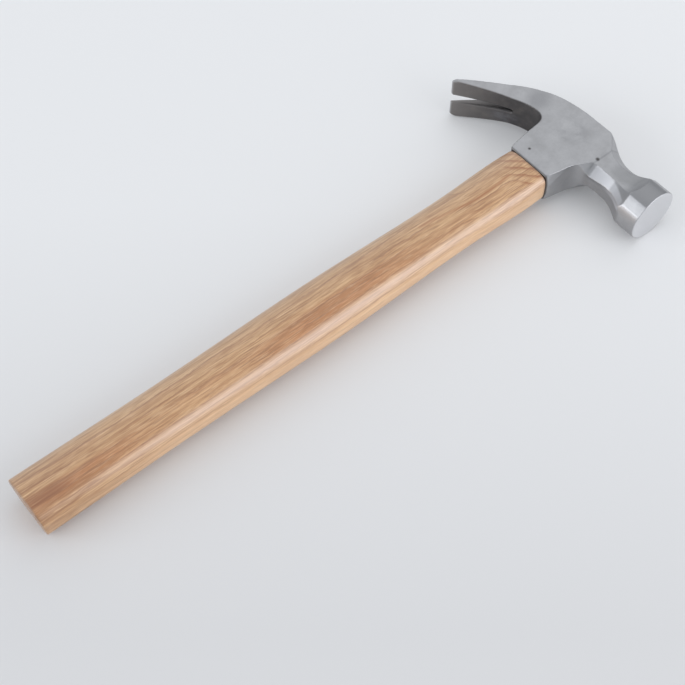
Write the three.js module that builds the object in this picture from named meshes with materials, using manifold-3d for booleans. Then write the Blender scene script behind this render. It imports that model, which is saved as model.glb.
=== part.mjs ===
// Claw hammer lying on its side: steel head, hardwood handle and the three wedges that hold them
// together. Millimetres. +X runs along the handle from the butt to the top of the head, the striking
// face points to -Y, the claws to +Y, and +Z is up off the surface that the hammer lies on.
//
// Every piece is drawn in bench coordinates: x = 0 at the mouth of the socket, y = 0 on the handle's
// axis and z = 0 on the plane of symmetry. The last group moves them so that the origin is under the
// middle of the whole hammer.

import * as THREE from "three";
import { mergeVertices } from "three/addons/utils/BufferGeometryUtils.js";
import Module from "manifold-3d";

const wasm = await Module();
wasm.setup();

// ---- Driving dimensions ----------------------------------------------------------------------

const HANDLE_LENGTH = 282.3; // butt to socket mouth
const HEAD_HEIGHT = 44.2; // socket mouth to the crown of the head
const CHEEK_HALF = 8.7; // half the thickness of the head at the cheeks
const GAP = 0.3; // clearance between neighbouring pieces

const FACE_Y = -56.8; // plane of the striking face
const POLL_X = 28.1; // height of the poll's axis above the socket mouth
const BELL_RADIUS = 13.5;
const FACE_RADIUS = 12.8; // flat part of the striking face
const BELL_START_Y = -47.2; // where the bell's round part ends and the neck begins
const BELL_FLAT = 13.17; // poll's axis to the four flats ground at 45 degrees

const CLAW_TIP_Y = 61.4;
const CLAW_TIP_HALF = 12.6; // half the spread of the claws at their tips
const CLAW_FLARE_Y = 20; // where the claws start to spread
const SLOT_TIP_HALF = 2.65; // half the nail slot's width at the tips
const SLOT_ROOT_HALF = 0.6;
const SLOT_ROOT_Y = 33.5;
const SLOT_BEVEL = 1.3; // how much wider the slot is on the concave side of the claws

const EYE_BOTTOM = [20, 12]; // eye at the socket mouth, along Y and Z
const EYE_TOP = [22, 13.4]; // eye at the crown, wider so that the wedges can spread the tenon
const EYE_EXPONENT = 4; // roundness of the eye's corners
const TENON_TOP = 43.4;

const KERF_DEPTH = 28;
const KERF_BOTTOM = 1.2; // kerf's width at its closed end
const KERF_TOP = 3.2;
const STEEL_WEDGE = { depth: 17, width: 9.4, top: 2.6, bottom: 0.7, offset: 5.6, steps: 3, step: 0.35 };

// ---- Solids ----------------------------------------------------------------------------------

function toSolid(geometry) {
  const bare = geometry.index ? geometry.toNonIndexed() : geometry.clone();
  bare.deleteAttribute("normal");
  bare.deleteAttribute("uv");
  const merged = mergeVertices(bare, 1e-4);
  return new wasm.Manifold(new wasm.Mesh({
    numProp: 3,
    vertProperties: new Float32Array(merged.attributes.position.array),
    triVerts: new Uint32Array(merged.index.array),
  }));
}

function toGeometry(solid) {
  const mesh = solid.getMesh();
  const geometry = new THREE.BufferGeometry();
  geometry.setAttribute("position", new THREE.BufferAttribute(mesh.vertProperties.slice(), 3));
  geometry.setIndex(new THREE.BufferAttribute(mesh.triVerts.slice(), 1));
  geometry.computeVertexNormals();
  return geometry;
}

const intersection = (first, ...others) => others.reduce((solid, other) => solid.intersect(other), first);

// A box between two corners.
function block(low, high) {
  const [width, depth, height] = high.map((value, axis) => value - low[axis]);
  const box = new THREE.BoxGeometry(width, depth, height);
  return toSolid(box.translate(low[0] + width / 2, low[1] + depth / 2, low[2] + height / 2));
}

// An outline in the XY plane, extruded along Z between -half and +half.
function extrudeAlongZ(shape, half, curveSegments = 10) {
  const geometry = new THREE.ExtrudeGeometry(shape, { depth: 2 * half, bevelEnabled: false, curveSegments });
  return toSolid(geometry.translate(0, 0, -half));
}

// An outline in the ZY plane (its x is Z, its y is Y), extruded along X from x = from to x = to.
function extrudeAlongX(shape, from, to, curveSegments = 10) {
  const geometry = new THREE.ExtrudeGeometry(shape, { depth: to - from, bevelEnabled: false, curveSegments });
  return toSolid(geometry.rotateY(Math.PI / 2).translate(from, 0, 0));
}

// A profile of [radius, y] points turned about the poll's axis.
function turnAboutPoll(profile, segments, startAngle = 0) {
  const points = profile.map(([radius, y]) => new THREE.Vector2(radius, y));
  const geometry = new THREE.LatheGeometry(points, segments, startAngle);
  return toSolid(geometry.translate(POLL_X, 0, 0));
}

// A bar along X whose section at each station is a superellipse: |y/a|^n + |z/b|^n = 1.
function bar(stations, sectionAt, sides) {
  const geometry = new THREE.CylinderGeometry(1, 1, 1, sides, stations.length - 1);
  geometry.rotateZ(-Math.PI / 2);
  const position = geometry.attributes.position;
  for (let i = 0; i < position.count; i += 1) {
    const station = stations[Math.round((position.getX(i) + 0.5) * (stations.length - 1))];
    const { halfWidth, halfThickness, exponent } = sectionAt(station);
    const onAxis = Math.hypot(position.getY(i), position.getZ(i)) < 0.5;
    const cos = onAxis ? 0 : position.getY(i);
    const sin = onAxis ? 0 : position.getZ(i);
    const y = halfWidth * Math.sign(cos) * Math.abs(cos) ** (2 / exponent);
    const z = halfThickness * Math.sign(sin) * Math.abs(sin) ** (2 / exponent);
    position.setXYZ(i, station, y, z);
  }
  return toSolid(geometry);
}

// A value that passes smoothly through a few [x, value] points.
function smoothly(points) {
  const curve = new THREE.SplineCurve(points.map(([x, value]) => new THREE.Vector2(x, value)));
  const samples = curve.getPoints(200);
  return (x) => {
    const after = samples.findIndex((sample) => sample.x >= x);
    if (after <= 0) return samples[after === 0 ? 0 : samples.length - 1].y;
    const [low, high] = [samples[after - 1], samples[after]];
    return low.y + ((high.y - low.y) * (x - low.x)) / (high.x - low.x);
  };
}

const stationsBetween = (from, to, count) =>
  Array.from({ length: count + 1 }, (_, i) => from + ((to - from) * i) / count);

// ---- Head ------------------------------------------------------------------------------------

// The head seen square to the cheek.
function headSideOutline() {
  const shape = new THREE.Shape();
  shape.moveTo(0, 11.7);
  shape.lineTo(0.9, 12.6);
  shape.lineTo(12, 14.4);
  shape.lineTo(20, 15.2);
  shape.bezierCurveTo(24.6, 15.7, 26.8, 18.4, 26, 23.5);
  shape.bezierCurveTo(24.6, 32.5, 18.6, 42.4, 5.4, 59.6);
  shape.lineTo(5.6, CLAW_TIP_Y);
  shape.bezierCurveTo(19.5, 50.4, 33.4, 37.6, 40.2, 22.8);
  shape.bezierCurveTo(43.4, 15.6, 44.2, 9, HEAD_HEIGHT, -3);
  shape.lineTo(HEAD_HEIGHT - 0.1, -10.6);
  shape.bezierCurveTo(43.9, -15.5, 42.6, -19.5, 40.7, -24);
  shape.bezierCurveTo(39, -28, 37.2, -33.4, 37.7, -38);
  shape.bezierCurveTo(38.1, -40.6, 39.6, -43, POLL_X + BELL_RADIUS - 0.7, -45.3);
  shape.lineTo(POLL_X + BELL_RADIUS, BELL_START_Y);
  shape.lineTo(POLL_X + BELL_RADIUS, FACE_Y);
  shape.lineTo(POLL_X - BELL_RADIUS, FACE_Y);
  shape.lineTo(POLL_X - BELL_RADIUS, BELL_START_Y);
  shape.lineTo(POLL_X - BELL_RADIUS + 0.6, -45.2);
  shape.lineTo(17.9, -40.3);
  shape.bezierCurveTo(19.6, -37.2, 20.3, -34, 20.25, -30.5);
  shape.bezierCurveTo(20.2, -26.5, 19.7, -23.5, 19.3, -20.2);
  shape.bezierCurveTo(18.9, -17.2, 16.8, -14.9, 11, -14.2);
  shape.lineTo(1, -13.5);
  shape.lineTo(0, -12.5);
  return shape;
}

// The head seen from its top: cheeks, hollow neck, bell and spreading claws.
function headPlanOutline() {
  const half = (y) => [
    [BELL_RADIUS, FACE_Y], [BELL_RADIUS, BELL_START_Y], [12.3, -46], [11, -44], [10.05, -42], [9.4, -40],
    [8.5, -36], [8.05, -31], [8.05, -27], [8.35, -20.6], [CHEEK_HALF, -19.3], [CHEEK_HALF, CLAW_FLARE_Y],
    [9.5, 34], [CLAW_TIP_HALF, CLAW_TIP_Y + 0.1],
  ].map(([z, along]) => [y * z, along]);
  const outline = [...half(1), ...half(-1).reverse()];
  return new THREE.Shape(outline.map(([z, y]) => new THREE.Vector2(z, y)));
}

// The nail slot seen from the top of the head, widened all round by extra.
function slotOutline(extra) {
  const root = SLOT_ROOT_HALF + extra;
  const tip = SLOT_TIP_HALF + extra;
  const shape = new THREE.Shape();
  shape.moveTo(tip, CLAW_TIP_Y + 1);
  shape.lineTo(root, SLOT_ROOT_Y);
  shape.absarc(0, SLOT_ROOT_Y, root, 0, -Math.PI, true);
  shape.lineTo(-tip, CLAW_TIP_Y + 1);
  return shape;
}

// The concave side of the claws, sunk by depth at the slot's root and by nothing at the tips.
function clawInnerSkin(depth) {
  const shape = new THREE.Shape();
  shape.moveTo(-10, SLOT_ROOT_Y - 6);
  shape.lineTo(25.2 + depth, SLOT_ROOT_Y - 6);
  shape.bezierCurveTo(23 + depth, 36, 17.6 + depth, 44.6, 4.2, CLAW_TIP_Y + 1);
  shape.lineTo(-10, CLAW_TIP_Y + 1);
  return shape;
}

const eyeSection = (gap) => (x) => {
  const part = THREE.MathUtils.clamp(x / HEAD_HEIGHT, -0.1, 1.1);
  return {
    halfWidth: THREE.MathUtils.lerp(EYE_BOTTOM[0], EYE_TOP[0], part) / 2 - gap,
    halfThickness: THREE.MathUtils.lerp(EYE_BOTTOM[1], EYE_TOP[1], part) / 2 - gap,
    exponent: EYE_EXPONENT,
  };
};

// A bar about the poll's axis whose four sides lie at 45 degrees, and all that is beyond its end;
// each entry is the distance from the axis to the sides, and y.
function diamond(flats) {
  const end = flats[flats.length - 1][1];
  const corners = flats.map(([distance, y]) => [distance * Math.SQRT2, y]);
  const bar45 = turnAboutPoll([[0, flats[0][1]], ...corners, [0, end]], 4, 0);
  return bar45.add(block([-5, end - 0.5, -20], [50, 70, 20]));
}

function makeHead() {
  const side = extrudeAlongZ(headSideOutline(), 20, 14);
  const plan = extrudeAlongX(headPlanOutline(), -5, 50);

  // The bell is round, with a small chamfer round the striking face.
  const chamfer = BELL_RADIUS - FACE_RADIUS;
  const round = turnAboutPoll([
    [0, FACE_Y], [FACE_RADIUS, FACE_Y], [BELL_RADIUS - 0.35, FACE_Y + chamfer * 0.55],
    [BELL_RADIUS, FACE_Y + chamfer], [BELL_RADIUS, -38], [0, -38],
  ], 48);
  const beyondBell = block([-5, -38.5, -20], [50, 70, 20]);

  // Four flats at 45 degrees run along the bell and neck. The two nearer the socket mouth end
  // abruptly at the cheeks, the two nearer the crown fade out along them.
  const shared = [[BELL_FLAT, FACE_Y - 1], [BELL_FLAT, -46.2], [12.5, -44.3], [11.45, -42], [10.6, -40]];
  const lowFlats = [
    ...shared, [9.8, -38], [9.2, -36], [8.72, -34], [8.4, -31], [8.25, -28], [8.22, -25], [8.42, -22.4],
    [8.85, -20.8], [9.6, -19.4], [10.8, -18.2], [12.4, -17], [14.8, -15.6], [18, -14.2], [21, -13],
  ];
  const crownFlats = [
    ...shared, [9.95, -38], [9.45, -36], [9.15, -34], [9, -31], [9.25, -27], [9.95, -24], [10.7, -22],
    [11.7, -20], [13, -18], [14.4, -16], [15.7, -14], [17, -11.5], [21, -9.8],
  ];
  const low = diamond(lowFlats).add(block([POLL_X, FACE_Y - 1, -20], [50, 70, 20]));
  const crown = diamond(crownFlats).add(block([-5, FACE_Y - 1, -20], [POLL_X, 70, 20]));

  const body = intersection(side, plan, round.add(beyondBell), low, crown);

  const slot = extrudeAlongX(slotOutline(0), -5, 50);
  const bevel = extrudeAlongX(slotOutline(SLOT_BEVEL), -5, 50).intersect(extrudeAlongZ(clawInnerSkin(1.2), 20));
  const eye = bar(stationsBetween(-1, HEAD_HEIGHT + 2, 1), eyeSection(0), 48);
  return body.subtract(slot).subtract(bevel).subtract(eye);
}

// ---- Handle and wedges -----------------------------------------------------------------------

const halfWidthAt = smoothly([
  [-HANDLE_LENGTH, 13.3], [-222, 13.3], [-128, 14.4], [-50, 13.3], [-16, 13.8], [0, 12.9],
]);
const halfThicknessAt = smoothly([
  [-HANDLE_LENGTH, 10], [-222, 10], [-128, 10.3], [-50, 9.2], [-16, 9], [0, 8.4],
]);
const exponentAt = smoothly([[-HANDLE_LENGTH, 3.3], [-222, 2.8], [-128, 2.6], [-50, 2.6], [-16, 3.2], [0, 4.5]]);

const BUTT_CHAMFER = 1;

function handleSection(x) {
  const fromButt = x + HANDLE_LENGTH;
  const trim = Math.max(0, BUTT_CHAMFER - fromButt);
  return {
    halfWidth: halfWidthAt(x) - trim,
    halfThickness: halfThicknessAt(x) - trim,
    exponent: exponentAt(x),
  };
}

// The kerf sawn down the tenon, in the plane of symmetry, shrunk by gap for the wedge that fills it.
function kerf(gap, halfLength) {
  const shape = new THREE.Shape();
  const top = TENON_TOP + (gap ? 0 : 1);
  const bottom = TENON_TOP - KERF_DEPTH + gap;
  shape.moveTo(bottom, -KERF_BOTTOM / 2 + gap);
  shape.lineTo(top, -KERF_TOP / 2 + gap);
  shape.lineTo(top, KERF_TOP / 2 - gap);
  shape.lineTo(bottom, KERF_BOTTOM / 2 - gap);
  const geometry = new THREE.ExtrudeGeometry(shape, { depth: 2 * halfLength, bevelEnabled: false });
  return toSolid(geometry.translate(0, 0, -halfLength).rotateX(Math.PI / 2));
}

// One stepped steel wedge standing across the kerf, grown by gap for the slot that it sits in.
function steelWedge(gap, side) {
  const { depth, width, top, bottom, offset, steps, step } = STEEL_WEDGE;
  const shape = new THREE.Shape();
  const edge = [[TENON_TOP - depth - gap, bottom / 2 + gap]];
  for (let i = 1; i <= steps; i += 1) {
    const x = TENON_TOP - depth + (depth * i) / (steps + 1);
    const half = THREE.MathUtils.lerp(bottom, top, i / (steps + 1)) / 2 + gap;
    edge.push([x, half + step / 2], [x + 0.6, half - step / 2]);
  }
  edge.push([TENON_TOP + (gap ? 1 : 0), top / 2 + gap]);
  edge.forEach(([x, y], i) => (i === 0 ? shape.moveTo(x, y) : shape.lineTo(x, y)));
  [...edge].reverse().forEach(([x, y]) => shape.lineTo(x, -y));
  return extrudeAlongZ(shape, width / 2 + gap).translate([0, side * offset, 0]);
}

function makeHandle() {
  const stations = [-HANDLE_LENGTH, ...stationsBetween(BUTT_CHAMFER - HANDLE_LENGTH, -16, 30), -11, -7, -3.5, -GAP];
  const grip = bar(stations, handleSection, 40);
  const tenon = bar(stationsBetween(-4, TENON_TOP, 1), eyeSection(GAP), 48);
  return grip.add(tenon).subtract(kerf(0, 20)).subtract(steelWedge(GAP, -1)).subtract(steelWedge(GAP, 1));
}

function makeWoodenWedge() {
  const insideTenon = bar(stationsBetween(0, TENON_TOP, 1), eyeSection(GAP), 48);
  return kerf(GAP, 20).intersect(insideTenon).subtract(steelWedge(GAP, -1)).subtract(steelWedge(GAP, 1));
}

// ---- Assembly --------------------------------------------------------------------------------

function piece(name, solid, color, roughness, metalness) {
  const mesh = new THREE.Mesh(toGeometry(solid), new THREE.MeshStandardMaterial({ color, roughness, metalness }));
  mesh.name = name;
  return mesh;
}

const hammer = new THREE.Group();
hammer.add(
  piece("hammer_head", makeHead(), 0x9fa1a3, 0.42, 1),
  piece("handle", makeHandle(), 0xc79f74, 0.45, 0),
  piece("wooden_wedge", makeWoodenWedge(), 0xa87a4c, 0.6, 0),
  piece("steel_wedge_1", steelWedge(0, -1), 0x77797c, 0.5, 1),
  piece("steel_wedge_2", steelWedge(0, 1), 0x77797c, 0.5, 1),
);
hammer.position.set((HANDLE_LENGTH - HEAD_HEIGHT) / 2, -(FACE_Y + CLAW_TIP_Y) / 2, BELL_RADIUS);

export default hammer;
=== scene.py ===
"""A claw hammer on a pale surface: ground steel head, lacquered hardwood handle, wedged eye."""

import math

import bpy
import numpy as np
from mathutils import Euler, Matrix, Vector


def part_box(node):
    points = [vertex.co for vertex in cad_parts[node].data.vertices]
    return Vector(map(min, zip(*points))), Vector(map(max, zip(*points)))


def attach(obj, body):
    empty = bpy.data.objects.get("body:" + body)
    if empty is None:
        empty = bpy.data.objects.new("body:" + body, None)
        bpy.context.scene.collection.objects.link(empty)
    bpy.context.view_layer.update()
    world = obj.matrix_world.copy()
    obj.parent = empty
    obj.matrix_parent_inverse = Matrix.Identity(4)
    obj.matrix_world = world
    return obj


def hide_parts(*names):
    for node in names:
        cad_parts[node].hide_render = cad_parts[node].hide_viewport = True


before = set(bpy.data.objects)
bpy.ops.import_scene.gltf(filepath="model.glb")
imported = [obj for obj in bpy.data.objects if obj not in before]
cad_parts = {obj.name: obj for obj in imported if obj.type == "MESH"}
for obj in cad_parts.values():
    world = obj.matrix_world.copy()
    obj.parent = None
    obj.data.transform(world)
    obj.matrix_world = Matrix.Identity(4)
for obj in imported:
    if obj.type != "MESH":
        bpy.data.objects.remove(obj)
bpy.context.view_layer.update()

# ---- Places, in millimetres in the bench frame: x = 0 at the socket mouth, y = 0 on the handle's
# axis, z = 0 on the plane of symmetry. BENCH is that frame's origin in the CAD frame. ----------

FACE_Y = -56.8
head_low, head_high = [1000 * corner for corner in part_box("hammer_head")]
handle_low, handle_high = [1000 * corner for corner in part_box("handle")]
BENCH = np.array([head_low.x, head_low.y - FACE_Y, (head_low.z + head_high.z) / 2])

HEAD_HEIGHT = head_high.x - head_low.x
CLAW_TIP_Y = head_high.y - BENCH[1]
BUTT_X = handle_low.x - BENCH[0]
TENON_TOP = handle_high.x - BENCH[0]
BELL_RADIUS = 13.5
BELL_FLAT = 13.17  # poll's axis to the flats ground on the bell

CHEEK_HALF = 8.7
POLL_X = 28.1
CLAW_TIP_HALF = 12.6
SLOT_TIP_HALF = 2.65
SLOT_ROOT_HALF = 0.6
SLOT_ROOT_Y = 35
SLOT_OPENING = 0.7  # how much wider the slot is, on each side, where it opens at the throat
SLOT_OPENING_DEPTH = 1.2
EYE_CORNER = 4.5
COUNTERSINK_DEPTH = 1.2  # at the eye's edge on the crown, half as wide as deep
GAP = 0.3
CHEEK_PIT = (6.1, 5.9, 8.7)
CORNER_PIT = (26.8, -19.6, 8.6)
CHEEK_SMUDGE = (30.5, 0.5, 8.7)
CLAW_SHADE = (32.0, 26.0, 9.0)
THROAT_RUB_AND_HIGHLIGHT = (21.5, 38, -4)  # where the claws' concave side is rubbed bare, with a painted bluish highlight
BUTT_HEART = (-274, -5.2, 9.0)  # dark wood near the butt
MOUTH_BEVEL = (0.866, 0.5, 0.866 * 8.05)  # plane of the bevel along the cheeks at the socket mouth
CELL = 0.42  # spacing of the grid that the head is meshed on
MARGIN = 1.6  # how far that grid goes past the head


# ---- Small geometry helpers ------------------------------------------------------------------

def bezier(start, first, second, end, count=24):
    """Points after start, up to end, of a cubic Bezier curve."""
    t = np.linspace(0, 1, count + 1)[1:, None]
    a, b, c, d = map(np.array, (start, first, second, end))
    return (1 - t) ** 3 * a + 3 * t * (1 - t) ** 2 * b + 3 * t ** 2 * (1 - t) * c + t ** 3 * d


class Outline:
    """A closed outline drawn with lines and Bezier curves."""

    def __init__(self, *start):
        self.points = [np.array([start], float)]

    def line(self, *point):
        self.points.append(np.array([point], float))
        return self

    def curve(self, first, second, end, count=24):
        self.points.append(bezier(self.points[-1][-1], first, second, end, count))
        return self

    def closed(self):
        return np.concatenate(self.points)


def outline_distance(points, x, y):
    """Signed distance to a closed outline, negative inside."""
    nearest = np.full(np.shape(x), 1e9)
    inside = np.zeros(np.shape(x), bool)
    for (ax, ay), (bx, by) in zip(points, np.roll(points, -1, axis=0)):
        ex, ey = bx - ax, by - ay
        length = ex * ex + ey * ey
        if length < 1e-12:
            continue
        px, py = x - ax, y - ay
        t = np.clip((px * ex + py * ey) / length, 0, 1)
        nearest = np.minimum(nearest, (px - t * ex) ** 2 + (py - t * ey) ** 2)
        crosses = (ay > y) != (by > y)
        if abs(ey) > 1e-9:
            inside ^= crosses & (x < ax + ex * (y - ay) / ey)
    return np.where(inside, -1, 1) * np.sqrt(nearest)


def smooth_max(a, b, radius):
    overlap = np.maximum(radius - np.abs(a - b), 0)
    return np.maximum(a, b) + overlap * overlap / (4 * radius)


def smooth_step(low, high, value):
    t = np.clip((value - low) / (high - low), 0, 1)
    return t * t * (3 - 2 * t)


class Through:
    """A smooth value passing through a few (position, value) points, without overshoot."""

    def __init__(self, *points):
        at, value = np.array(points, float).T
        slope = np.diff(value) / np.diff(at)
        left, right = slope[:-1], slope[1:]
        turn = left * right
        tangent = np.zeros(len(at))
        tangent[1:-1] = np.where(turn > 0, 2 * turn / np.where(turn > 0, left + right, 1), 0)
        tangent[0], tangent[-1] = slope[0], slope[-1]
        self.fine = np.linspace(at[0], at[-1], 1200)
        i = np.clip(np.searchsorted(at, self.fine, side="right") - 1, 0, len(at) - 2)
        h = at[i + 1] - at[i]
        t = (self.fine - at[i]) / h
        self.values = (
            (1 + 2 * t) * (1 - t) ** 2 * value[i] + t * (1 - t) ** 2 * h * tangent[i]
            + t * t * (3 - 2 * t) * value[i + 1] + t * t * (t - 1) * h * tangent[i + 1]
        )
        self.slopes = np.gradient(self.values, self.fine)

    def __call__(self, at):
        return np.interp(at, self.fine, self.values)

    def slope(self, at):
        return np.interp(at, self.fine, self.slopes)


# ---- Head: a solid described by distances ----------------------------------------------------

BELL_TOP = POLL_X + BELL_RADIUS
BELL_LOW = POLL_X - BELL_RADIUS

SIDE = (
    Outline(0, 11.4)
    .curve((0, 12.0), (0.3, 12.5), (1.1, 12.6), 6)
    .line(12, 14.4)
    .line(20, 15.2)
    .curve((24.6, 15.7), (26.8, 18.4), (26, 23.5))
    .curve((24.6, 32.5), (18.6, 42.4), (5.4, 59.6), 40)
    .line(5.5, 60.9)
    .curve((5.55, 61.2), (5.6, 61.3), (5.9, CLAW_TIP_Y - 0.1), 4)
    .curve((19.5, 50.4), (33.4, 37.6), (40.2, 22.8), 50)
    .curve((43.4, 15.6), (44.2, 9), (HEAD_HEIGHT, -3))
    .line(HEAD_HEIGHT - 0.1, -10.6)
    .curve((43.9, -15.5), (42.6, -19.5), (40.7, -24))
    .curve((39.0, -28), (37.2, -33.4), (37.7, -38))
    .curve((38.1, -40.6), (39.6, -43), (BELL_TOP - 0.7, -45.3))
    .curve((BELL_TOP - 0.2, -46.0), (BELL_TOP, -46.5), (BELL_TOP, -47.3), 6)
    .line(BELL_TOP, FACE_Y)
    .line(BELL_LOW, FACE_Y)
    .line(BELL_LOW, -47.2)
    .curve((BELL_LOW, -46.5), (BELL_LOW + 0.1, -46), (BELL_LOW + 0.6, -45.2), 6)
    .line(17.9, -40.3)
    .curve((19.6, -37.2), (20.3, -34), (20.25, -30.5))
    .curve((20.2, -26.5), (19.7, -23.5), (19.3, -20.2))
    .curve((18.9, -17.2), (16.8, -14.9), (11, -14.2))
    .line(1.2, -13.5)
    .curve((0.5, -13.4), (0, -13.0), (0, -12.3), 6)
    .closed()
)

# The throat, on the concave side of the claws.
THROAT = (
    Outline(-20, 10)
    .line(20, 15.2)
    .curve((24.6, 15.7), (26.8, 18.4), (26, 23.5))
    .curve((24.6, 32.5), (18.6, 42.4), (5.4, 59.6), 40)
    .line(3, 62.9)
    .line(-20, 62.9)
    .closed()
)

# Half the head's thickness, at each y.
neck_thickness = Through(
    (-58, 17), (-50, 15.2), (-48, 13.8), (-46, 12.3), (-44, 11.0), (-42, 10.05), (-40, 9.4),
    (-38, 8.9), (-36, 8.5), (-34, 8.25), (-31, 8.05), (-27, 8.05), (-23, 8.2), (-20.6, 8.35),
    (-19.3, CHEEK_HALF), (62, CHEEK_HALF),
)

# Distance from the poll's axis to the flats at 45 degrees, at each y: first the two nearer the
# socket mouth, which end abruptly at the cheeks, then the two nearer the crown, which fade out.
low_flats = Through(
    (-58, BELL_FLAT), (-46.3, BELL_FLAT), (-44.4, 12.5), (-42, 11.4), (-40, 10.55), (-38, 9.8),
    (-36, 9.2), (-34, 8.72), (-31, 8.4), (-28, 8.25), (-25, 8.22), (-22.4, 8.42), (-20.8, 8.85),
    (-19.4, 9.6), (-18.2, 10.8), (-17, 12.4), (-15.6, 14.8), (-14.2, 18), (-12, 25), (62, 60),
)
crown_flats = Through(
    (-58, BELL_FLAT), (-46, BELL_FLAT), (-44.2, 12.5), (-42, 11.45), (-40, 10.6), (-38, 9.95),
    (-36, 9.45), (-34, 9.15), (-31, 9.0), (-27, 9.25), (-24, 9.95), (-22, 10.7), (-20, 11.8),
    (-18, 13.3), (-16, 14.9), (-14, 16.3), (-12, 17.4), (-10, 18.8), (62, 60),
)

# Where the claws start to spread, at each x.
flare_start = Through((0, 35.5), (20, 35.5), (24.3, 34.8), (28.8, 28.6), (32, 23), (36.7, 18), (46, 12))


def claw_flare(x, y):
    """How far the claws stand out past the cheek, on each side."""
    start = flare_start(np.clip(x, 0, 45.9))
    along = y - start
    softened = 0.5 * (along + np.sqrt(along * along + 0.8)) - 0.05
    reach = CLAW_TIP_Y - start
    return (CLAW_TIP_HALF - CHEEK_HALF) * np.clip(softened, 0, None) / reach


def eye_half(x, gap=0.0):
    """Half width and half thickness of the eye at x; the eye widens towards the crown."""
    part = np.clip(x / HEAD_HEIGHT, -0.1, 1.1)
    return 10 + part - gap, 6 + 0.7 * part - gap


def eye_distance(x, y, z, gap=0.0):
    """Distance to the wall of the eye across its section, negative in the hole."""
    half_y, half_z = eye_half(x, gap)
    qy = np.abs(y) - half_y + EYE_CORNER
    qz = np.abs(z) - half_z + EYE_CORNER
    outside = np.hypot(np.maximum(qy, 0), np.maximum(qz, 0))
    return outside + np.minimum(np.maximum(qy, qz), 0) - EYE_CORNER


def slot_distance(y, z, throat):
    """Distance to the wall of the nail slot, negative in the gap; its edges open out at the throat."""
    part = (y - SLOT_ROOT_Y) / (CLAW_TIP_Y - SLOT_ROOT_Y)
    half = SLOT_ROOT_HALF + (SLOT_TIP_HALF - SLOT_ROOT_HALF) * np.clip(part, 0, 1.2)
    opening = np.clip(1 - throat / SLOT_OPENING_DEPTH, 0, 1) * np.clip(1 - part, 0, 1) ** 0.5
    half = half + SLOT_OPENING * opening
    return np.hypot(np.minimum(y - SLOT_ROOT_Y, 0), z) - half


def head_distance(x, y, z, side=None, throat=None):
    """Signed distance to the head's surface, negative in the steel."""
    side = outline_distance(SIDE, x, y) if side is None else side
    throat = outline_distance(THROAT, x, y) if throat is None else throat
    height = np.abs(z)

    plan = height - neck_thickness(y) - claw_flare(x, y)
    plan = plan / np.sqrt(1 + neck_thickness.slope(y) ** 2)
    body = smooth_max(side, plan, 0.22)

    for side_sign, flat_distance in ((-1, low_flats), (1, crown_flats)):
        flats = (side_sign * (x - POLL_X) + height) / math.sqrt(2) - flat_distance(y)
        body = smooth_max(body, flats / np.sqrt(1 + flat_distance.slope(y) ** 2), 0.12)

    radius = np.hypot(x - POLL_X, z)
    rim = BELL_RADIUS - 0.55 * np.clip((FACE_Y + 0.8 - y) / 0.8, 0, 1) ** 2
    round_bell = radius - rim - np.clip(y + 40, 0, None) * 4
    body = smooth_max(body, round_bell, 0.08)
    crown = FACE_Y + 0.22 * (radius / BELL_RADIUS) ** 2 - y
    body = smooth_max(body, crown, 0.45)
    mouth_bevel = MOUTH_BEVEL[0] * height - MOUTH_BEVEL[1] * x - MOUTH_BEVEL[2]
    body = smooth_max(body, mouth_bevel, 0.12)

    body = smooth_max(body, -slot_distance(y, z, throat), 0.5)

    countersink = 0.5 * np.clip(x - HEAD_HEIGHT + COUNTERSINK_DEPTH, 0, 2)
    return smooth_max(body, -(eye_distance(x, y, z) - countersink), 0.4)


def surface_nets(low, high, cell, sample):
    """Meshes the zero surface of sample(x, y, z) in a box: vertices and quads."""
    axes = [np.arange(a, b + cell, cell) for a, b in zip(low, high)]
    values = sample(*axes)
    inside = values < 0
    shape = tuple(n - 1 for n in values.shape)
    total = np.zeros(shape + (3,))
    count = np.zeros(shape)
    for axis in range(3):
        for first in (0, 1):
            for second in (0, 1):
                offset = [0, 0, 0]
                others = [i for i in range(3) if i != axis]
                offset[others[0]], offset[others[1]] = first, second
                ahead = list(offset)
                ahead[axis] = 1
                near = tuple(slice(o, o + n) for o, n in zip(offset, shape))
                far = tuple(slice(o, o + n) for o, n in zip(ahead, shape))
                cut = inside[near] != inside[far]
                a, b = values[near][cut], values[far][cut]
                point = np.tile(np.array(offset, float), (len(a), 1))
                point[:, axis] = a / (a - b)
                total[cut] += point
                count[cut] += 1
    used = count > 0
    index = np.full(shape, -1)
    index[used] = np.arange(used.sum())
    cells = np.argwhere(used)
    vertices = (cells + total[used] / count[used][:, None]) * cell + np.array([a[0] for a in axes])

    quads = []
    for axis in range(3):
        others = [(axis + 1) % 3, (axis + 2) % 3]
        ahead = [slice(None)] * 3
        behind = [slice(None)] * 3
        ahead[axis], behind[axis] = slice(1, None), slice(None, -1)
        cut = inside[tuple(behind)] != inside[tuple(ahead)]
        where = np.argwhere(cut)
        keep = np.all((where[:, others] > 0) & (where[:, others] < np.array(shape)[others]), axis=1)
        where = where[keep]
        outward = inside[tuple(where.T)]
        corners = []
        for first, second in ((-1, -1), (0, -1), (0, 0), (-1, 0)):
            spot = where.copy()
            spot[:, others[0]] += first
            spot[:, others[1]] += second
            corners.append(index[tuple(spot.T)])
        quad = np.stack(corners, 1)
        quads.append(np.where(outward[:, None], quad, quad[:, ::-1]))
    return vertices, np.concatenate(quads)


def gradient(distance, points, step=0.02):
    result = np.empty_like(points)
    for axis in range(3):
        shift = np.zeros(3)
        shift[axis] = step
        result[:, axis] = distance(*(points + shift).T) - distance(*(points - shift).T)
    return result / (2 * step)


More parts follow.
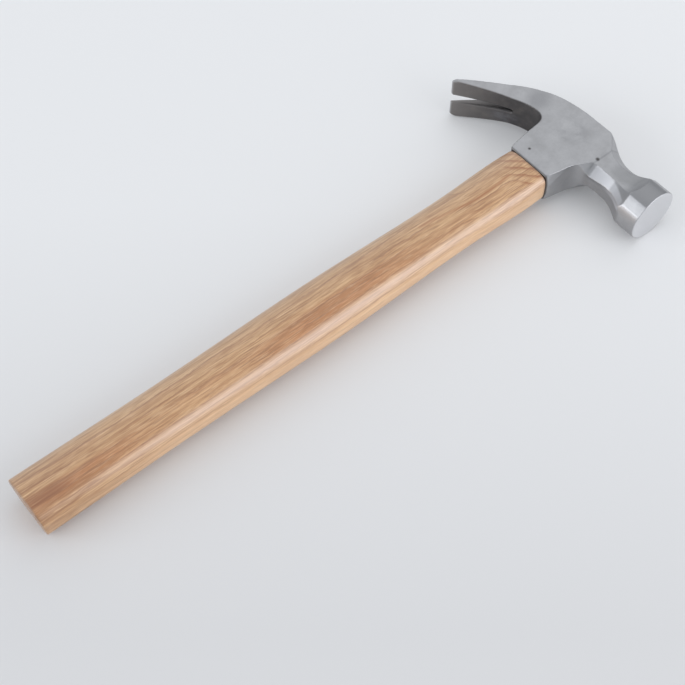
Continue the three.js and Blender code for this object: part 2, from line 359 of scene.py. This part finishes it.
def mesh_object(name, vertices, faces, normals=None):
    """A mesh object from bench-frame millimetres, smooth shaded."""
    if isinstance(faces, np.ndarray):
        faces = faces.tolist()
    mesh = bpy.data.meshes.new(name)
    mesh.from_pydata(((vertices + BENCH) / 1000).tolist(), [], faces)
    mesh.polygons.foreach_set("use_smooth", np.ones(len(mesh.polygons), bool))
    if normals is not None:
        mesh.normals_split_custom_set_from_vertices(normals.tolist())
    mesh.update()
    obj = bpy.data.objects.new(name, mesh)
    bpy.context.scene.collection.objects.link(obj)
    return obj


def point_attribute(obj, name, values):
    obj.data.attributes.new(name, "FLOAT", "POINT").data.foreach_set("value", values.astype(np.float32))


def make_head():
    def sample(xs, ys, zs):
        gx, gy = np.meshgrid(xs, ys, indexing="ij")
        side = outline_distance(SIDE, gx, gy)[:, :, None]
        throat = outline_distance(THROAT, gx, gy)[:, :, None]
        return head_distance(xs[:, None, None], ys[None, :, None], zs[None, None, :], side, throat)

    low = (-MARGIN, FACE_Y - MARGIN, -BELL_RADIUS - MARGIN)
    high = (HEAD_HEIGHT + MARGIN, CLAW_TIP_Y + MARGIN, BELL_RADIUS + MARGIN)
    vertices, quads = surface_nets(low, high, CELL, sample)
    for _ in range(2):
        slope = gradient(head_distance, vertices)
        steepness = np.maximum((slope ** 2).sum(1), 0.2)
        step = (head_distance(*vertices.T) / steepness)[:, None] * slope
        vertices = vertices - np.clip(step, -CELL, CELL)
    slope = gradient(head_distance, vertices, 0.05)
    normals = slope / np.linalg.norm(slope, axis=1)[:, None]
    head = mesh_object("steel_head", vertices, quads, normals)

    x, y, z = vertices.T
    throat = outline_distance(THROAT, x, y)
    concave = (1 - smooth_step(0.25, 0.75, throat)) * smooth_step(14.2, 16.5, y)
    inside_slot = 1 - smooth_step(0.15, 0.5, slot_distance(y, z, throat))
    point_attribute(head, "forged", np.maximum(concave, inside_slot))
    point_attribute(head, "face", 1 - smooth_step(FACE_Y + 0.25, FACE_Y + 0.6, y))
    return head


# ---- Handle and wedges -----------------------------------------------------------------------

# The grip's sections, at each x: half sizes along Y and Z, and the superellipse's exponent.
half_width = Through(
    (BUTT_X, 13.3), (-222, 13.3), (-128, 14.4), (-50, 13.3), (-16, 13.8), (0, 12.9),
)
half_thickness = Through(
    (BUTT_X, 10.0), (-222, 10.0), (-128, 10.3), (-50, 9.2), (-16, 9.0), (0, 8.4),
)
squareness = Through((BUTT_X, 3.3), (-222, 2.8), (-128, 2.6), (-50, 2.6), (-16, 3.2), (0, 4.5))
BUTT_ROUND = 0.8
BUTT_SLANT = 0.065  # the butt is sawn a little out of square
SLANT_LENGTH = 20  # over which the slant fades out
KERF_DEPTH = 28
KERF_BOTTOM = 1.2
KERF_TOP = 3.2
KERF_REACH = 20  # past the tenon on each side
WEDGE_DEPTH = 17
WEDGE_OFFSET = 5.6
WEDGE_WIDTH = 9.4
WEDGE_BOTTOM_HALF = 0.35
WEDGE_TOP_HALF = 1.35


def superellipse(angle, half_y, half_z, exponent):
    cos, sin = np.cos(angle), np.sin(angle)
    scale = (np.abs(cos / half_y) ** exponent + np.abs(sin / half_z) ** exponent) ** (-1 / exponent)
    return scale * cos, scale * sin


def loft(rings):
    """Closed solid through rings of equal length, with flat ends: vertices and faces."""
    count = len(rings[0])
    vertices = np.concatenate(rings)
    faces = []
    for ring in range(len(rings) - 1):
        here, there = ring * count, (ring + 1) * count
        for i in range(count):
            after = (i + 1) % count
            faces.append((here + i, there + i, there + after, here + after))
    faces.append(tuple(range(count)))
    faces.append(tuple(range(len(vertices) - 1, len(vertices) - count - 1, -1)))
    return vertices, faces


def handle_ring(x, angles, inset=0.0):
    half_y, half_z, exponent = half_width(x), half_thickness(x), squareness(x)
    section_angles = np.arctan2(np.sin(angles) * half_z, np.cos(angles) * half_y)
    y, z = superellipse(section_angles, half_y, half_z, exponent)
    shrink_y, shrink_z = (half_y - inset) / half_y, (half_z - inset) / half_z
    near_butt = max(0, 1 - (x - BUTT_X) / SLANT_LENGTH) ** 2
    slanted = x + BUTT_SLANT * (half_z - z * shrink_z) * near_butt
    return np.stack([slanted, y * shrink_y, z * shrink_z], 1)


def tenon_ring(x, angles, inset=0.0):
    """Rounded rectangle that follows the eye with the fitting gap."""
    half_y, half_z = eye_half(x, GAP + inset)
    corner = EYE_CORNER - GAP
    core = np.array([half_y - corner, half_z - corner])
    direction = np.stack([np.cos(angles), np.sin(angles)], 1)
    toward_corner = np.sign(direction) * np.minimum(np.abs(direction) * 6, 1)
    y, z = (core * toward_corner + corner * direction).T
    return np.stack([np.full_like(y, x), y, z], 1)


def prism(name, outline, half, across):
    """A bar whose outline is given as (x, y) or, when across is 2, as (x, z) points."""
    count = len(outline)
    vertices = np.zeros((2 * count, 3))
    vertices[:, 0] = [point[0] for point in outline] * 2
    vertices[:, across] = [point[1] for point in outline] * 2
    vertices[:, 3 - across] = [-half] * count + [half] * count
    faces = [(i, (i + 1) % count, (i + 1) % count + count, i + count) for i in range(count)]
    faces += [tuple(range(count))[::-1], tuple(range(count, 2 * count))]
    if across == 2:
        faces = [face[::-1] for face in faces]
    return mesh_object(name, vertices, [face[::-1] for face in faces])


def kerf_cutter():
    low, high = TENON_TOP - KERF_DEPTH, TENON_TOP + 1
    bottom, top = KERF_BOTTOM / 2, KERF_TOP / 2
    points = [(low, -bottom), (low, bottom), (high, top), (high, -top)]
    return prism("kerf", points, KERF_REACH, 2)


def wedge_cutter(side):
    low, high = TENON_TOP - WEDGE_DEPTH - GAP, TENON_TOP + 1
    bottom, top = WEDGE_BOTTOM_HALF + GAP, WEDGE_TOP_HALF + GAP
    middle = side * WEDGE_OFFSET
    points = [
        (low, middle - bottom), (low, middle + bottom), (high, middle + top), (high, middle - top),
    ]
    return prism("slot", points, WEDGE_WIDTH / 2 + GAP, 1)


def cut(body, cutter):
    modifier = body.modifiers.new("cut", "BOOLEAN")
    modifier.operation = "DIFFERENCE"
    modifier.solver = "MANIFOLD"
    modifier.object = cutter
    graph = bpy.context.evaluated_depsgraph_get()
    mesh = bpy.data.meshes.new_from_object(body.evaluated_get(graph))
    body.modifiers.clear()
    body.data = mesh
    bpy.data.objects.remove(cutter)


def make_handle():
    angles = np.linspace(0, 2 * math.pi, 145)[:-1] + 0.01
    rings = []
    for turn in np.linspace(0, math.pi / 2, 7):
        along = BUTT_X + BUTT_ROUND * (1 - math.sin(turn))
        rings.append(handle_ring(along, angles, BUTT_ROUND * (1 - math.cos(turn))))
    rings = rings[::-1]
    rings = [handle_ring(BUTT_X, angles, BUTT_ROUND + step) for step in (8.5, 6, 3)] + rings
    rings += [handle_ring(x, angles) for x in np.linspace(BUTT_X + BUTT_ROUND + 1, -1.0, 281)]
    rings += [handle_ring(-0.6, angles, 0.05), handle_ring(-GAP, angles, 0.3)]
    rings += [tenon_ring(-GAP, angles)]
    rings += [tenon_ring(x, angles) for x in np.linspace(1, TENON_TOP - 0.3, 36)]
    rings += [tenon_ring(TENON_TOP, angles, 0.25)]
    vertices, faces = loft(rings)
    body = mesh_object("hardwood_handle", vertices, faces)
    for cutter in (kerf_cutter(), wedge_cutter(-1), wedge_cutter(1)):
        cut(body, cutter)
    body.data.set_sharp_from_angle(angle=math.radians(32))
    return body


handle = make_handle()
head = make_head()

for piece, node, slot in ((head, "hammer_head", "head_steel"), (handle, "handle", "handle_wood")):
    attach(piece, "root")
    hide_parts(node)


# ---- Materials -------------------------------------------------------------------------------

class Graph:
    """A short way to write a material's node graph."""

    def __init__(self, name):
        self.material = bpy.data.materials.new(name)
        self.material.use_nodes = True
        self.nodes = self.material.node_tree.nodes
        self.links = self.material.node_tree.links
        self.shader = self.nodes["Principled BSDF"]
        coordinates = self.nodes.new("ShaderNodeTexCoord")
        millimetres = self.vector("SCALE", coordinates.outputs["Object"], scale=1000)
        self.bench = self.vector("SUBTRACT", millimetres, tuple(BENCH))

    def _put(self, socket, value):
        if isinstance(value, bpy.types.NodeSocket):
            self.links.new(value, socket)
        elif value is not None:
            socket.default_value = value

    def vector(self, operation, a, b=None, scale=None):
        node = self.nodes.new("ShaderNodeVectorMath")
        node.operation = operation
        self._put(node.inputs[0], a)
        self._put(node.inputs[1], b)
        self._put(node.inputs[3], scale)
        return node.outputs["Value" if operation in ("LENGTH", "DOT_PRODUCT") else "Vector"]

    def math(self, operation, a, b=None, c=None):
        node = self.nodes.new("ShaderNodeMath")
        node.operation = operation
        for socket, value in zip(node.inputs, (a, b, c)):
            self._put(socket, value)
        return node.outputs[0]

    def times(self, a, b, *more):
        product = self.math("MULTIPLY", a, b)
        for factor in more:
            product = self.math("MULTIPLY", product, factor)
        return product

    def plus(self, a, b):
        return self.math("ADD", a, b)

    def minus(self, a, b):
        return self.math("SUBTRACT", a, b)

    def distance(self, a, b):
        return self.math("ABSOLUTE", self.minus(a, b))

    def noise(self, scale, detail, roughness, shift=0.0):
        """Noise with scale cycles per millimetre along each axis."""
        place = self.vector("MULTIPLY", self.bench, scale)
        place = self.vector("ADD", place, (shift, shift * 0.7, shift * 1.3))
        node = self.nodes.new("ShaderNodeTexNoise")
        self._put(node.inputs["Vector"], place)
        node.inputs["Scale"].default_value = 1
        node.inputs["Distortion"].default_value = 0
        node.inputs["Detail"].default_value = detail
        node.inputs["Roughness"].default_value = roughness
        return node.outputs["Fac"]

    def remap(self, value, from_low, from_high, to_low=0.0, to_high=1.0, smooth=False):
        node = self.nodes.new("ShaderNodeMapRange")
        node.interpolation_type = "SMOOTHSTEP" if smooth else "LINEAR"
        self._put(node.inputs["Value"], value)
        node.inputs["From Min"].default_value = from_low
        node.inputs["From Max"].default_value = from_high
        node.inputs["To Min"].default_value = to_low
        node.inputs["To Max"].default_value = to_high
        return node.outputs["Result"]

    def ramp(self, value, *stops):
        node = self.nodes.new("ShaderNodeValToRGB")
        elements = node.color_ramp.elements
        while len(elements) < len(stops):
            elements.new(0.5)
        for element, (position, color) in zip(elements, stops):
            element.position = position
            element.color = (*color, 1)
        self._put(node.inputs["Fac"], value)
        return node.outputs["Color"]

    def mix(self, factor, a, b):
        node = self.nodes.new("ShaderNodeMix")
        node.data_type = "RGBA"
        self._put(node.inputs["Factor"], factor)
        self._put(node.inputs[6], (*a, 1) if isinstance(a, tuple) else a)
        self._put(node.inputs[7], (*b, 1) if isinstance(b, tuple) else b)
        return node.outputs[2]

    def layer(self, under, color, mask, amount):
        """The colour under, with another over it wherever the mask is."""
        return self.mix(self.times(mask, amount), under, color)

    def attribute(self, name):
        node = self.nodes.new("ShaderNodeAttribute")
        node.attribute_name = name
        return node.outputs["Fac"]

    def axis(self, vector, name):
        node = self.nodes.new("ShaderNodeSeparateXYZ")
        self._put(node.inputs[0], vector)
        return node.outputs[name]

    def spot(self, place, radius):
        """1 at a place given in bench millimetres, 0 at the radius and beyond."""
        distance = self.vector("LENGTH", self.vector("SUBTRACT", self.bench, place))
        return self.remap(distance, radius, 0.2 * radius, 0, 1, smooth=True)

    def curve(self, value, *points):
        """A smooth function of value through a few points, flat beyond the first and last."""
        first, last = points[0][0], points[-1][0]
        low, high = min(p[1] for p in points), max(p[1] for p in points)
        node = self.nodes.new("ShaderNodeFloatCurve")
        line = node.mapping.curves[0]
        for index, (at, result) in enumerate(points):
            place = ((at - first) / (last - first), (result - low) / (high - low))
            if index == 0:
                line.points[0].location = place
            elif index == len(points) - 1:
                line.points[-1].location = place
            else:
                line.points.new(*place)
        node.mapping.update()
        self._put(node.inputs["Value"], self.remap(value, first, last))
        return self.remap(node.outputs[0], 0, 1, low, high)

    def bump(self, height, strength, distance_mm):
        node = self.nodes.new("ShaderNodeBump")
        node.inputs["Strength"].default_value = strength
        node.inputs["Distance"].default_value = distance_mm / 1000
        self._put(node.inputs["Height"], height)
        self._put(self.shader.inputs["Normal"], node.outputs["Normal"])

    def set(self, **values):
        for key, value in values.items():
            socket = key.replace("_", " ").title().replace("Ior", "IOR")
            self._put(self.shader.inputs[socket], value)
        return self.material


def steel_material():
    g = Graph("ground_steel")
    x, y, z = (g.axis(g.bench, name) for name in "XYZ")
    mottling = g.noise((0.11, 0.11, 0.11), 5, 0.62)
    fine = g.noise((0.9, 0.9, 0.9), 3, 0.6, shift=21)
    turned = g.noise((0.35, 5.0, 0.35), 2, 0.5, shift=7)
    neck = g.remap(y, -18, -21)
    face = g.attribute("face")
    forged = g.attribute("forged")

    ground = g.ramp(
        mottling,
        (0.3, (0.385, 0.382, 0.388)), (0.5, (0.43, 0.428, 0.436)), (0.72, (0.47, 0.468, 0.476)),
    )
    smudge = g.times(g.spot(CHEEK_SMUDGE, 13), g.remap(mottling, 0.62, 0.4))
    ground = g.layer(ground, (0.27, 0.27, 0.28), smudge, 0.35)
    ground = g.layer(ground, (0.25, 0.25, 0.26), g.remap(fine, 0.45, 0.75), 0.12)
    ground = g.layer(ground, (0.72, 0.72, 0.735), face, 0.9)

    # Painted shade: the bell's side that faces up, and the side of the claws next to the cheek, are
    # painted darker.
    painted_shade_bell_top = g.times(g.remap(z, 9.6, 12.4, smooth=True), g.remap(y, -43, -47, smooth=True))
    ground = g.layer(ground, (0.31, 0.31, 0.318), painted_shade_bell_top, g.minus(1.0, face))
    ground = g.layer(ground, (0.26, 0.26, 0.27), g.spot(CLAW_SHADE, 9.5), 0.55)

    # Painted light: the walls of the socket, square to the cheeks, are painted a little paler.
    wall = g.times(g.remap(z, 8.4, 7.6), g.remap(y, -22, -19.5), g.remap(x, 22, 19))
    ground = g.layer(ground, (0.6, 0.6, 0.615), wall, 0.2)

    # Painted highlight: the neck's upper flat nearer the socket mouth is painted brighter towards the
    # bell.
    painted_highlight_strip = g.times(g.remap(z, 8.0, 7.3), g.remap(z, 1.5, 2.5))
    painted_highlight_strip = g.times(painted_highlight_strip, g.remap(y, -19.5, -23), g.remap(x, 28, 25))
    painted_highlight_tone = g.curve(y, (-46, 0.62), (-41, 0.68), (-36, 0.62), (-29, 0.38), (-21, 0.33))
    painted_highlight_color = g.mix(painted_highlight_tone, (0.0, 0.0, 0.0), (1.0, 1.0, 1.03))
    ground = g.layer(ground, painted_highlight_color, painted_highlight_strip, g.remap(y, -46, -44))
    # Painted shade: the neck's top between the cheek and the bell is painted darker.
    painted_shade_neck_top = g.times(g.remap(y, -26, -31, smooth=True), g.remap(y, -46, -43), g.remap(x, 24, 27))
    ground = g.layer(ground, (0.27, 0.27, 0.275), painted_shade_neck_top, 0.5)

    # A dark line at the socket mouth, a faint line of painted shade in the crease between cheek and
    # neck, and two pits.
    mouth = g.times(g.remap(x, 0.8, 0.35), g.remap(y, -16, -14))
    ground = g.layer(ground, (0.10, 0.09, 0.085), mouth, 0.75)
    painted_shade_crease = g.times(g.remap(g.distance(y, -20.1), 0.6, 0.15), g.remap(x, 20.5, 22))
    ground = g.layer(ground, (0.15, 0.15, 0.16), painted_shade_crease, 0.25)
    pits = g.math("MAXIMUM", g.spot(CHEEK_PIT, 1.1), g.spot(CORNER_PIT, 1.5))
    ground = g.layer(ground, (0.05, 0.045, 0.04), pits, 0.85)

    # The forged skin on the claws' concave side and in the nail slot; near the middle of the lower claw
    # a paler bluish patch, rubbed bare and partly painted highlight.
    scale = g.noise((0.16, 0.16, 0.16), 4, 0.55, shift=11)
    dull = g.ramp(
        scale,
        (0.3, (0.095, 0.09, 0.092)), (0.55, (0.125, 0.118, 0.117)), (0.75, (0.17, 0.158, 0.15)),
    )
    dull = g.mix(g.remap(y, 36, 60, 0, 0.75), dull, (0.30, 0.283, 0.272))
    patches = g.remap(g.noise((0.5, 0.18, 0.5), 3, 0.6, shift=45), 0.3, 0.62)
    rubbed_and_highlight = g.times(g.remap(z, -1, -3), g.spot(THROAT_RUB_AND_HIGHLIGHT, 11), patches)
    dull = g.layer(dull, (0.34, 0.345, 0.38), rubbed_and_highlight, 0.3)
    color = g.mix(forged, ground, dull)

    rough = g.plus(g.remap(mottling, 0.3, 0.7, 0.42, 0.36), g.times(forged, 0.12))
    rough = g.plus(rough, g.times(face, 0.06))
    height = g.plus(g.times(turned, neck, 0.5), g.times(fine, 0.25))
    height = g.plus(height, g.times(scale, forged, 2.0))
    height = g.minus(height, g.times(pits, 6.0))
    g.bump(height, 0.35, 0.06)
    return g.set(base_color=color, metallic=1.0, roughness=rough)


def wood_material():
    g = Graph("lacquered_hardwood")
    x, y, z = (g.axis(g.bench, name) for name in "XYZ")

    # Growth rings: their course along the handle, and the dark late wood at each ring's edge.
    sway = g.times(g.minus(g.noise((0.018, 0.06, 0.06), 2, 0.5, shift=19), 0.5), 3.2)
    ripple = g.times(g.minus(g.noise((0.07, 0.2, 0.2), 2, 0.5, shift=5), 0.5), 0.9)
    path = g.curve(
        x,
        (-284, 3.6), (-200, 2.6), (-118, 3.3), (-73, 3.1), (-57, 1.5), (-45, 0.4), (-28, -2.2),
        (-12, -0.6), (4, -1),
    )
    across = g.plus(g.plus(g.minus(y, path), sway), ripple)
    across = g.plus(across, g.times(g.minus(z, 9.5), 1.15))
    bend = g.curve(x, (-21, 0), (-15, 1.6), (-9, 6), (4, 16))
    shoulder = g.plus(bend, g.times(g.noise((0.25, 0.25, 0.25), 3, 0.6, shift=120), 1.8))
    ring = g.math("DIVIDE", g.plus(across, shoulder), 4.3)
    phase = g.math("FRACT", g.plus(ring, 40.0))
    late = g.times(g.remap(phase, 0.45, 0.95, smooth=True), g.remap(phase, 1.0, 0.96))
    line = g.times(g.remap(phase, 0.80, 0.93), g.remap(phase, 1.0, 0.95))

    # Grain, from broad patches to fine threads, all drawn out along the handle.
    speck = g.noise((0.13, 2.7, 2.7), 3, 0.6, shift=101)
    patchy = g.noise((0.02, 0.16, 0.16), 3, 0.6, shift=71)
    fibre = g.noise((0.022, 1.05, 1.05), 4, 0.62, shift=60)
    thread = g.noise((0.07, 1.7, 1.7), 2, 0.5, shift=80)
    streak = g.noise((0.012, 0.42, 0.42), 3, 0.6, shift=33)

    base = g.ramp(
        streak,
        (0.3, (0.485, 0.262, 0.112)), (0.5, (0.59, 0.347, 0.163)), (0.7, (0.69, 0.44, 0.225)),
    )

    # A red-brown band below the middle.
    red_strength = g.curve(
        x,
        (-284, 0.75), (-262, 1), (-240, 0.75), (-215, 0.35), (-175, 0.35), (-160, 0.9), (-100, 1),
        (-78, 0.7), (-62, 0.2), (4, 0.1),
    )
    red_band = g.remap(g.math("ABSOLUTE", g.plus(g.plus(y, 6.2), sway)), 6.0, 2.0, smooth=True)
    red = g.times(red_strength, red_band, g.remap(patchy, 0.3, 0.55, 0.45, 1.0))
    base = g.mix(red, base, (0.46, 0.18, 0.055))

    # Rings, which give way to diagonal bands next to the head.
    near_head = g.remap(x, -14, -9, smooth=True)
    far_from_head = g.minus(1.0, near_head)
    late_strength = g.times(g.remap(patchy, 0.42, 0.62, 0.05, 0.75), far_from_head)
    base = g.layer(base, (0.40, 0.165, 0.055), late, late_strength)
    line_strength = g.times(g.remap(patchy, 0.38, 0.58, 0.1, 0.9), far_from_head)
    base = g.layer(base, (0.25, 0.10, 0.035), line, line_strength)
    diagonal = g.math("MULTIPLY_ADD", x, 0.85, g.plus(y, 10.8))
    diagonal = g.plus(diagonal, g.times(g.noise((0.3, 0.3, 0.3), 3, 0.6, shift=160), 2.4))
    diagonal = g.math("FRACT", g.plus(g.math("DIVIDE", g.minus(diagonal, 1.2), 5.9), 10.5))
    diagonal = g.times(g.remap(diagonal, 0.12, 0.5), g.remap(diagonal, 0.66, 0.54))
    diagonal = g.times(diagonal, near_head, g.remap(y, -11.5, -9.5))

    # A dark vein that runs into the head.
    vein_course = g.curve(
        x,
        (-66, 2.8), (-57, 1.8), (-46, 0.1), (-38, -1.2), (-30, -1.4), (-20, -0.8), (-11, 0.3),
    )
    vein = g.remap(g.distance(g.plus(y, g.times(ripple, 1.3)), vein_course), 1.3, 0.2)
    vein_strength = g.curve(x, (-68, 0), (-60, 1), (-50, 0.6), (-42, 1), (-18, 1), (-12, 0))
    vein = g.times(vein, vein_strength)

    base = g.mix(g.remap(fibre, 0.43, 0.68, 0.0, 0.75), base, (0.36, 0.165, 0.06))
    base = g.mix(g.remap(fibre, 0.45, 0.25, 0.0, 0.35), base, (0.70, 0.50, 0.34))
    base = g.mix(g.remap(thread, 0.54, 0.66, 0.0, 0.75), base, (0.27, 0.11, 0.035))
    base = g.mix(g.remap(speck, 0.5, 0.66, 0.0, 0.55), base, (0.34, 0.155, 0.055))
    base = g.mix(g.remap(speck, 0.48, 0.33, 0.0, 0.4), base, (0.78, 0.53, 0.31))
    base = g.layer(base, (0.29, 0.095, 0.02), diagonal, g.remap(fibre, 0.3, 0.55, 0.55, 0.9))
    base = g.layer(base, (0.34, 0.11, 0.02), vein, g.remap(fibre, 0.35, 0.55, 0.45, 0.85))

    # Dark heartwood and streaks near the butt.
    heart = g.times(g.spot(BUTT_HEART, 19), g.remap(g.distance(y, -5.2), 4.2, 1.0))
    base = g.layer(base, (0.24, 0.08, 0.02), heart, g.remap(fibre, 0.35, 0.6, 0.55, 1.0))

    # Painted light: the lower side is painted paler, with a pinkish painted highlight just below the
    # shoulder.
    painted_light_lower_side = g.times(g.remap(y, -9.5, -11.5), g.remap(x, -265, -215))
    base = g.layer(base, (0.86, 0.62, 0.48), painted_light_lower_side, g.remap(z, 3, 6.5, 0, 0.4))
    base = g.layer(base, (0.86, 0.57, 0.34), painted_light_lower_side, g.remap(z, 5, 2.5, 0, 0.45))

    butt_streak = g.remap(g.noise((0.03, 0.75, 0.75), 3, 0.6, shift=140), 0.5, 0.64)
    butt_streak = g.times(butt_streak, g.remap(x, -235, -270))
    base = g.layer(base, (0.27, 0.11, 0.035), butt_streak, 0.7)
    # Painted reflection: the side towards +y is painted greyer, a painted sheen.
    base = g.mix(g.remap(y, 0, 10, 0, 0.22), base, (0.50, 0.40, 0.32))

    # A dark seam at the head, and end grain on the tenon and the butt; at the butt the darker end grain
    # is also painted shade over its lit rounded edge.
    seam_patches = g.remap(g.noise((0.3, 0.5, 0.5), 2, 0.5, shift=90), 0.35, 0.6, 0.4, 1)
    seam = g.times(g.remap(x, -2.2, -0.4), seam_patches)
    base = g.layer(base, (0.16, 0.075, 0.045), seam, 0.75)
    tenon_end = g.remap(x, TENON_TOP - 0.4, TENON_TOP - 0.1)
    butt_end_grain_and_shade = g.remap(x, BUTT_X + 1.1, BUTT_X + 0.4)
    end_grain = g.math("MAXIMUM", tenon_end, butt_end_grain_and_shade)
    base = g.layer(base, (0.28, 0.16, 0.09), end_grain, 0.55)

    g.bump(g.minus(g.times(fibre, -0.5), thread), 0.45, 0.09)
    return g.set(
        base_color=base, roughness=0.45, coat_weight=0.9, coat_roughness=0.42, coat_ior=1.6
    )


def wedge_wood_material():
    g = Graph("wedge_hardwood")
    grain = g.noise((0.05, 1.2, 1.2), 3, 0.6, shift=14)
    color = g.ramp(grain, (0.3, (0.24, 0.125, 0.06)), (0.7, (0.42, 0.25, 0.14)))
    return g.set(base_color=color, roughness=0.55)


def wedge_steel_material():
    g = Graph("wedge_steel")
    grain = g.noise((0.6, 0.6, 0.6), 4, 0.6, shift=27)
    g.bump(grain, 0.3, 0.05)
    color = g.ramp(grain, (0.3, (0.20, 0.20, 0.21)), (0.7, (0.36, 0.36, 0.37)))
    return g.set(base_color=color, metallic=1.0, roughness=0.45)


for piece, material in ((head, steel_material()), (handle, wood_material())):
    piece.data.materials.clear()
    piece.data.materials.append(material)

wedge_steel = wedge_steel_material()
wedge_materials = {
    "wooden_wedge": wedge_wood_material(),
    "steel_wedge_1": wedge_steel,
    "steel_wedge_2": wedge_steel,
}
for name, material in wedge_materials.items():
    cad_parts[name].data.materials.clear()
    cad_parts[name].data.materials.append(material)


# ---- Surface, light and camera ---------------------------------------------------------------

def make_floor():
    """The surface that the hammer rests on: it touches the bell, the claw tips and the butt."""
    bell = Vector((POLL_X, -50, -BELL_RADIUS))
    claw = Vector((5.6, CLAW_TIP_Y, -CLAW_TIP_HALF))
    butt = Vector((BUTT_X + 2, 0, -half_thickness(BUTT_X)))
    normal = (claw - bell).cross(butt - bell).normalized()
    bpy.ops.mesh.primitive_plane_add(size=6)
    floor = bpy.context.object
    floor.name = "table_surface"
    upward = normal * math.copysign(1, normal.z)
    floor.rotation_euler = Vector((0, 0, 1)).rotation_difference(upward).to_euler()
    floor.location = (bell + Vector(BENCH)) / 1000
    paint = Graph("pale_surface")
    # Painted shade: the surface is painted darker towards the front of the hammer, along a fixed
    # direction.
    painted_shade_distance = paint.vector("DOT_PRODUCT", paint.bench, (-0.633, -0.774, 0))
    tone = paint.ramp(
        paint.remap(painted_shade_distance, -150, 280),
        (0, (0.83, 0.827, 0.825)), (0.5, (0.80, 0.797, 0.795)), (1, (0.68, 0.674, 0.673)),
    )
    floor.data.materials.append(paint.set(base_color=tone, roughness=0.65, specular_ior_level=0.2))


def area_light(name, direction, distance, size, power, color):
    """A rectangular lamp in a direction from the middle of the hammer, shining back at it."""
    light = bpy.data.lights.new(name, "AREA")
    light.shape = "RECTANGLE"
    light.size, light.size_y = size
    light.energy = power
    light.color = color
    lamp = bpy.data.objects.new(name, light)
    toward = Vector(direction).normalized()
    lamp.location = toward * distance
    lamp.rotation_euler = toward.to_track_quat("Z", "Y").to_euler()
    bpy.context.scene.collection.objects.link(lamp)
    return light


def make_light():
    area_light("left_window", (-0.82, 0.30, 0.36), 1.6, (1.3, 1.0), 10, (0.93, 0.96, 1.0))
    front = {"direction": (0.42, -0.80, 0.42), "distance": 1.5, "size": (1.3, 1.2)}
    area_light("front_softbox", power=8, color=(0.95, 0.965, 1.0), **front)
    fill = area_light("front_fill", power=9, color=(0.95, 0.965, 1.0), **front)
    fill.use_shadow = False  # it lifts the shadows beside the neck and the handle
    area_light("ceiling", (0.36, 0.44, 0.82), 2.0, (3.2, 3.2), 14.5, (0.985, 0.99, 1.0))
    world = bpy.data.worlds.new("studio")
    bpy.context.scene.world = world
    world.use_nodes = True
    background = world.node_tree.nodes["Background"]
    background.inputs["Color"].default_value = (0.86, 0.9, 0.95, 1)
    background.inputs["Strength"].default_value = 0.58


def make_camera():
    data = bpy.data.cameras.new("camera")
    data.sensor_width = 36
    data.lens = 68.3
    camera = bpy.data.objects.new("camera", data)
    azimuth, elevation = math.radians(-39.3), math.radians(56.8)
    camera.rotation_euler = Euler((math.pi / 2 - elevation, 0, azimuth))
    camera.location = (Vector((-330.44, -262.97, 481.72)) + Vector(BENCH)) / 1000
    bpy.context.scene.collection.objects.link(camera)
    bpy.context.scene.camera = camera


bpy.context.scene.view_settings.view_transform = "Standard"
make_floor()
make_light()
make_camera()
